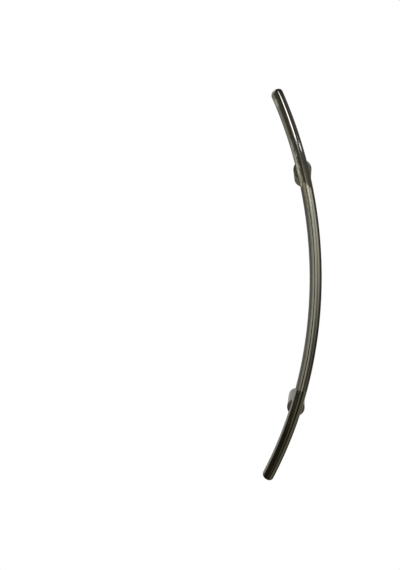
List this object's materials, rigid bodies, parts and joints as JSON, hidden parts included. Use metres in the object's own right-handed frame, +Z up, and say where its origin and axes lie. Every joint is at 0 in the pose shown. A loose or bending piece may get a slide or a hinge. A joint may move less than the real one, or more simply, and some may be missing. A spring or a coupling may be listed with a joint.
{
  "type": "door pull handle",
  "caption": "Crescent door pull: a round bar bent to a large arc, held off the door by round posts, in dark plated metal, satin between the posts and polished beyond.",
  "frame": {"origin": "on the door face, midway between the two fixing holes", "axes": "+Z up along the handle, +Y into the door, +X the way the bar bows"},
  "size_m": [0.0906, 0.076, 0.6526],
  "materials": {
    "plated_metal": "dark nickel plating, polished; brushed satin between the posts",
    "plain_steel": "turned, unplated",
    "fastener_steel": "oil blackened",
    "pad_rubber": "smooth matt"
  },
  "bodies": {
    "root": {"grip_tube": "plated_metal", "upper_end_cap": "plated_metal", "lower_end_cap": "plated_metal", "upper_post": "plated_metal", "lower_post": "plated_metal", "upper_tube_insert": "plain_steel", "lower_tube_insert": "plain_steel", "saddle_screws": "fastener_steel", "spring_washers": "fastener_steel", "upper_mount_boss": "plain_steel", "lower_mount_boss": "plain_steel", "grub_screws": "fastener_steel", "upper_gasket": "pad_rubber", "lower_gasket": "pad_rubber"}
  },
  "joints": []
}
